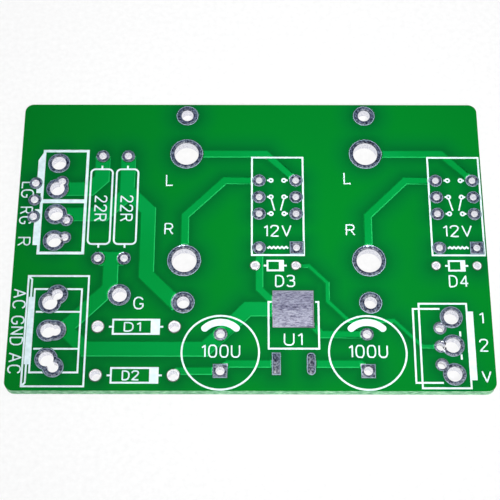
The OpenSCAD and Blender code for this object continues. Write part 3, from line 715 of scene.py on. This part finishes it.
def paint_net(mesh, rims, domed):
    """Paints how near the rims are, and gives each face the number of its finish."""
    def in_dome(x, y):
        return any(math.hypot(x - a, y - b) < DOME_REACH for a, b in domed)

    at_hole = points_of(p for p in mesh.polygons if is_wall(mesh, p))
    attribute = mesh.attributes.new("rim", "FLOAT", "POINT")
    for i in rims:
        x, y, _ = mesh.vertices[i].co
        hole_rim = DOMED_HOLE_RIM if in_dome(x, y) else HOLE_RIM
        attribute.data[i].value = hole_rim if i in at_hole else OUTER_RIM
    for p in mesh.polygons:
        if is_wall(mesh, p):
            p.material_index = WALL
        elif in_dome(p.center.x, p.center.y):
            p.material_index = DOME


def soften_net(name):
    piece = merged_copy(nodes[name], name.replace("copper_", "solder_"))
    domed = diode_pads(piece, PAD_TOP, 1)
    rims = soften_side(piece, PAD_TOP, 1) | soften_side(piece, 0.0, -1)
    dress(piece, solder_finish, wall_finish, dome_finish)
    paint_net(piece.data, rims, domed)
    rescale(piece, MM)
    bpy.ops.object.shade_smooth_by_angle(angle=math.radians(SMOOTH_UP_TO))
    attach(piece, "root")
    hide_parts(name)
    return piece


net_names = [n for n in sorted(nodes) if n.startswith("copper_")]
solder = {name: soften_net(name) for name in net_names}
print("nets with soft rims:", len(solder), "faces:", sum(len(p.data.polygons) for p in solder.values()))

# %% [markdown]
# The regulator's land is a part of the supply's ground net, so it is found by its place on the board
# and gets the streaked finish as the net's fourth.

# %% The streaked land
LAND_LOW = Vector((2.9, -12.5, 1.5)) * MM
LAND_HIGH = Vector((8.5, -7.1, 1.7)) * MM
ground = solder["copper_supply_ground"]
ground.data.materials.append(land_finish)
streaked = 0
for p in ground.data.polygons:
    if all(low < value < high for low, value, high in zip(LAND_LOW, p.center, LAND_HIGH)):
        p.material_index = LAND
        streaked += 1
print("faces with streaks:", streaked)

# %% [markdown]
# ## Letters
# A board's letters are drawn by a plotter with one round pen, so each is a few strokes of the same
# width with round ends. Blender's own text is made of filled outlines and not of a pen's strokes, so
# the strokes of each letter are written here once, in a box one unit high.

# %% The pen's alphabet
PEN = {
    "0": [[
        (0.16, 0), (0.04, 0.14), (0, 0.34), (0, 0.66), (0.04, 0.86), (0.16, 1), (0.44, 1),
        (0.56, 0.86), (0.6, 0.66), (0.6, 0.34), (0.56, 0.14), (0.44, 0), (0.16, 0),
    ]],
    "1": [[(0, 0.8), (0.12, 0.88), (0.24, 1), (0.24, 0)]],
    "2": [[
        (0, 0.76), (0.04, 0.92), (0.18, 1), (0.42, 1), (0.56, 0.92), (0.6, 0.77), (0.54, 0.6),
        (0, 0), (0.62, 0),
    ]],
    "3": [
        [(0, 0.9), (0.14, 1), (0.42, 1), (0.57, 0.9), (0.57, 0.66), (0.42, 0.54), (0.22, 0.54)],
        [(0.42, 0.54), (0.6, 0.42), (0.6, 0.14), (0.44, 0), (0.14, 0), (0, 0.12)],
    ],
    "4": [[(0.46, 0), (0.46, 1), (0, 0.3), (0.64, 0.3)]],
    "A": [[(0, 0), (0.35, 1), (0.7, 0)], [(0.12, 0.34), (0.58, 0.34)]],
    "C": [[
        (0.62, 0.78), (0.54, 0.93), (0.4, 1), (0.24, 1), (0.08, 0.9), (0, 0.68), (0, 0.32),
        (0.08, 0.1), (0.24, 0), (0.4, 0), (0.54, 0.07), (0.62, 0.22),
    ]],
    "D": [[
        (0, 0), (0, 1), (0.32, 1), (0.52, 0.9), (0.62, 0.68), (0.62, 0.32), (0.52, 0.1),
        (0.32, 0), (0, 0),
    ]],
    "G": [[
        (0.64, 0.78), (0.56, 0.93), (0.42, 1), (0.24, 1), (0.08, 0.9), (0, 0.68), (0, 0.32),
        (0.08, 0.1), (0.24, 0), (0.42, 0), (0.56, 0.07), (0.65, 0.22), (0.65, 0.44), (0.4, 0.44),
    ]],
    "L": [[(0, 1), (0, 0), (0.58, 0)]],
    "N": [[(0, 0), (0, 1), (0.6, 0), (0.6, 1)]],
    "R": [
        [(0, 0), (0, 1), (0.42, 1), (0.56, 0.93), (0.62, 0.76), (0.56, 0.58), (0.42, 0.5), (0, 0.5)],
        [(0.34, 0.5), (0.64, 0)],
    ],
    "U": [[(0, 1), (0, 0.24), (0.07, 0.08), (0.2, 0), (0.42, 0), (0.55, 0.08), (0.62, 0.24), (0.62, 1)]],
    "V": [[(0, 1), (0.35, 0), (0.7, 1)]],
}
print("letters and figures:", "".join(PEN))

# %% [markdown]
# Each stroke is a curve with a round bevel. Between its corners it gets points set close together,
# so that its ink can follow the mask up and down over the tracks.

# %% Drawing the strokes
PEN_WIDTH = 0.2
LETTER_GAP = 0.3
INK_STEP = 0.15
BEVEL_STEPS = 2


def stepped(corners):
    """The same stroke with points close together."""
    points = [corners[0]]
    for (ax, ay), (bx, by) in zip(corners, corners[1:]):
        count = max(1, round(math.dist((ax, ay), (bx, by)) / INK_STEP))
        for i in range(1, count + 1):
            points.append((ax + (bx - ax) * i / count, ay + (by - ay) * i / count))
    return points


def draw(name, text, size):
    """Text as a curve, with its middle at the origin and its ink filling size, in millimetres."""
    widths = [max(x for stroke in PEN[c] for x, y in stroke) for c in text]
    length = sum(widths) + LETTER_GAP * (len(text) - 1)
    wide = (size[0] - PEN_WIDTH) / length
    tall = size[1] - PEN_WIDTH
    curve = bpy.data.curves.new(name, "CURVE")
    curve.dimensions = "3D"
    curve.bevel_depth = PEN_WIDTH / 2
    curve.bevel_resolution = BEVEL_STEPS
    curve.use_fill_caps = True
    start = 0.0
    for c, w in zip(text, widths):
        for stroke in PEN[c]:
            points = stepped([((start + x - length / 2) * wide, (y - 0.5) * tall) for x, y in stroke])
            line = curve.splines.new("POLY")
            line.points.add(len(points) - 1)
            for point, (x, y) in zip(line.points, points):
                point.co = (x, y, 0, 1)
        start += w + LETTER_GAP
    return curve


print("the pen draws lines", PEN_WIDTH, "mm wide")

# %% [markdown]
# The curve is made a mesh, pressed flat and laid on the mask, which leaves a low ridge of ink as a
# screen print does. A ray from above finds the mask under each point. Where it meets none, or falls
# through an opening, the ink keeps the height that the mask has over bare core.

# %% Laying the ink on the mask
INK_BODY = 0.012
ABOVE_BOARD = 10 * MM
mask = nodes["top_solder_mask"].data
surface = BVHTree.FromPolygons([v.co for v in mask.vertices], [p.vertices for p in mask.polygons])
floor_z = (over_core + middle) * MM


def write(name, text, centre, size, turn=0):
    """Writes text with its middle at centre and its ink filling size, in millimetres."""
    piece = bpy.data.objects.new(name, draw(name, text, size))
    bpy.context.scene.collection.objects.link(piece)
    make_active(piece)
    bpy.ops.object.convert(target="MESH")
    press = INK_BODY / (PEN_WIDTH / 2)
    piece.data.transform(Matrix.Diagonal((1, 1, press, 1)))
    piece.data.transform(Matrix.Rotation(math.radians(turn), 4, "Z"))
    piece.data.transform(Matrix.Translation((*centre, 0)))
    rescale(piece, MM)
    for v in piece.data.vertices:
        met = surface.ray_cast(Vector((v.co.x, v.co.y, ABOVE_BOARD)), Vector((0, 0, -1)))[0]
        v.co.z += max(met.z, floor_z) if met else floor_z
    dress(piece, ink_finish)
    bpy.ops.object.shade_smooth()
    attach(piece, "root")
    return piece


print("ink over bare core starts", round(floor_z / MM, 4), "mm above the board's underside")

# %% [markdown]
# The marks say what is soldered where: left and right, ground, the alternating supply, the control
# plug's pins, the relays' voltage, and the values of the resistors and capacitors. The diodes and the
# regulator carry a plain letter and number, as a parts list would. Each mark has a name, its text,
# its middle and its size.

# %% Writing the marks
SIDEWAYS = -90
words = [
    ("input_1_left_mark", "L", (-11.26, 9.24), (1.09, 1.8)),
    ("input_1_right_mark", "R", (-11.18, 1.82), (1.25, 1.78)),
    ("input_2_left_mark", "L", (13.44, 9.55), (1.08, 1.81)),
    ("input_2_right_mark", "R", (13.65, 1.7), (1.3, 1.73)),
    ("relay_1_voltage", "12V", (3.68, 1.55), (3.84, 1.77)),
    ("relay_2_voltage", "12V", (28.29, 1.55), (3.98, 1.77)),
    ("ground_mark", "G", (-14.95, -9.03), (1.39, 1.81)),
    ("resistor_1_value", "22R", (-20.68, 4.9), (3.96, 1.76), SIDEWAYS),
    ("resistor_2_value", "22R", (-17.1, 4.9), (3.96, 1.8), SIDEWAYS),
    ("rectifier_1_mark", "D1", (-15.65, -12.4), (2.3, 1.4)),
    ("rectifier_2_mark", "D2", (-15.65, -19.12), (2.3, 1.4)),
    ("relay_diode_1_mark", "D3", (4.65, -5.82), (2.7, 1.77)),
    ("relay_diode_2_mark", "D4", (28.02, -5.82), (2.7, 1.77)),
    ("capacitor_1_value", "100U", (-3.9, -15.77), (5.14, 1.81)),
    ("capacitor_2_value", "100U", (15.5, -15.77), (5.2, 1.81)),
    ("regulator_mark", "U1", (5.65, -14.1), (2.5, 1.8)),
    ("output_1_left_mark", "L", (-30.9, 8.4), (1.1, 1.8), SIDEWAYS),
    ("output_1_ground_mark", "G", (-30.9, 7.15), (1.3, 1.8), SIDEWAYS),
    ("output_2_right_mark", "R", (-30.9, 4.58), (1.15, 1.8), SIDEWAYS),
    ("output_2_ground_mark", "G", (-30.9, 3.1), (1.2, 1.8), SIDEWAYS),
    ("output_right_mark", "R", (-30.9, -0.08), (1.35, 1.8), SIDEWAYS),
    ("ac_1_mark", "AC", (-30.9, -8.43), (2.85, 1.8), SIDEWAYS),
    ("ac_ground_mark", "GND", (-30.9, -12.93), (4.15, 1.8), SIDEWAYS),
    ("ac_2_mark", "AC", (-30.9, -17.45), (2.9, 1.8), SIDEWAYS),
    ("control_1_mark", "1", (30.7, -11.08), (0.6, 1.65)),
    ("control_2_mark", "2", (30.77, -14.9), (1.26, 1.8)),
    ("control_supply_mark", "V", (30.85, -19.24), (1.3, 1.67)),
]
letters = [write(*w) for w in words]
print("marks:", len(letters), "faces:", sum(len(p.data.polygons) for p in letters))

# %% [markdown]
# ## Table, light and camera
# The board lies on a white table. The table glows, but only for the camera and for what mirrors it,
# so that it stays white without more light on the board. Under the board it glows a little more for
# the camera, because there the holes show it in the board's own shade.

# %% A white table
TABLE_SIZE = 4
bpy.ops.mesh.primitive_plane_add(size=TABLE_SIZE, location=(0, 0, 0))
table = bpy.context.active_object
table.name = "table"
table_finish, tree, shader, place = bare_material("white_table")
paper = noise(tree, place, 1.4, 3.0)
white = shades(tree, paper, (0.3, (247, 247, 247)), (0.7, (253, 253, 253)))
tree.links.new(white, shader.inputs["Base Color"])
shader.inputs["Roughness"].default_value = 0.9
shader.inputs["Specular IOR Level"].default_value = 0.1
dress(table, table_finish)
print("table:", tuple(table.dimensions))

# %% The table's glow
GLOW = 0.88
MORE_GLOW = 0.1
UNDER_BOARD = (("X", 31), ("Y", 18.5))
within = [
    maths(tree, "LESS_THAN", maths(tree, "ABSOLUTE", part_of(tree, place, axis)), half)
    for axis, half in UNDER_BOARD
]
share = maths(tree, "MULTIPLY_ADD", maths(tree, "MULTIPLY", *within), MORE_GLOW, GLOW)
glow = tree.nodes.new("ShaderNodeEmission")
tree.links.new(white, glow.inputs["Color"])
path = tree.nodes.new("ShaderNodeLightPath")
for_camera = maths(tree, "MULTIPLY", path.outputs["Is Camera Ray"], share)
both = tree.nodes.new("ShaderNodeMixShader")
tree.links.new(maths(tree, "MAXIMUM", for_camera, path.outputs["Is Glossy Ray"]), both.inputs[0])
tree.links.new(shader.outputs[0], both.inputs[1])
tree.links.new(glow.outputs[0], both.inputs[2])
out = next(n for n in tree.nodes if n.type == "OUTPUT_MATERIAL")
tree.links.new(both.outputs[0], out.inputs["Surface"])
print("glow:", GLOW, "and", round(GLOW + MORE_GLOW, 2), "under the board")

# %% [markdown]
# Most of the light comes evenly from a pale room. Metal mirrors what is round it, so for mirrored
# rays alone the room is pale near the table, a dim blue higher up, and pale again straight overhead,
# which gives the solder its contrast.

# %% The room
ROOM_COLOUR = (0.75, 0.76, 0.78, 1)
ROOM_LEVEL = 0.8
scene = bpy.context.scene
world = bpy.data.worlds.new("room")
scene.world = world
world.use_nodes = True
tree = world.node_tree
height = part_of(tree, tree.nodes.new("ShaderNodeTexCoord").outputs["Generated"], "Z")
mirrored = ramp(
    tree,
    height,
    (0.1, (0.8, 0.8, 0.85, 1)),
    (0.5, (0.35, 0.36, 0.45, 1)),
    (0.8, (0.05, 0.1, 0.24, 1)),
    (0.878, (0.05, 0.11, 0.26, 1)),
    (0.905, (0.12, 0.2, 0.34, 1)),
    (0.935, (0.28, 0.34, 0.36, 1)),
    (0.99, (0.72, 0.73, 0.73, 1)),
)
is_mirrored = tree.nodes.new("ShaderNodeLightPath").outputs["Is Glossy Ray"]
background = next(n for n in tree.nodes if n.type == "BACKGROUND")
tree.links.new(mix(tree, is_mirrored, ROOM_COLOUR, mirrored), background.inputs["Color"])
background.inputs["Strength"].default_value = ROOM_LEVEL
print("room:", world.name)

# %% [markdown]
# Two weak round lamps at the sides give the light a direction, and a narrow soft one from the front
# makes a pool of light on the board's middle, which fades towards its edges.

# %% The lamps
def hang(light, place, aim=(0, 0, 0)):
    """Hangs a light at a place and turns it to what it lights."""
    holder = bpy.data.objects.new(light.name, light)
    holder.location = place
    holder.rotation_euler = (Vector(aim) - Vector(place)).to_track_quat("-Z", "Y").to_euler()
    scene.collection.objects.link(holder)


for name, place, size, power in (
    ("left", (-0.5, -0.2, 0.45), 0.4, 0.7),
    ("right", (0.55, -0.05, 0.4), 0.35, 1.0),
):
    disk = bpy.data.lights.new(name, "AREA")
    disk.shape = "DISK"
    disk.size = size
    disk.energy = power
    hang(disk, place)
pool = bpy.data.lights.new("pool", "SPOT")
pool.energy = 8.5
pool.spot_size = math.radians(16)
pool.spot_blend = 1.0
pool.shadow_soft_size = 0.03
hang(pool, (0.05, -0.22, 0.33), aim=(0.011, 0.001, 0))

# %% [markdown]
# The camera looks down at the board from the front, as someone would who is about to solder it. Its
# lens is long, so that the far edge looks only a little shorter than the near one.

# %% The camera
EYE_PLACE = (0.119, -69.94, 162.92)
EYE_TURN = (23.045, 0.024, 0.107)
eye = bpy.data.cameras.new("eye")
eye.sensor_width = 36
eye.lens = 92.88
eye.clip_start = 0.01
camera = bpy.data.objects.new("eye", eye)
camera.location = Vector(EYE_PLACE) * MM
camera.rotation_euler = [math.radians(a) for a in EYE_TURN]
scene.collection.objects.link(camera)
scene.camera = camera
scene.view_settings.view_transform = "Standard"
print("camera:", tuple(round(c, 4) for c in camera.location))
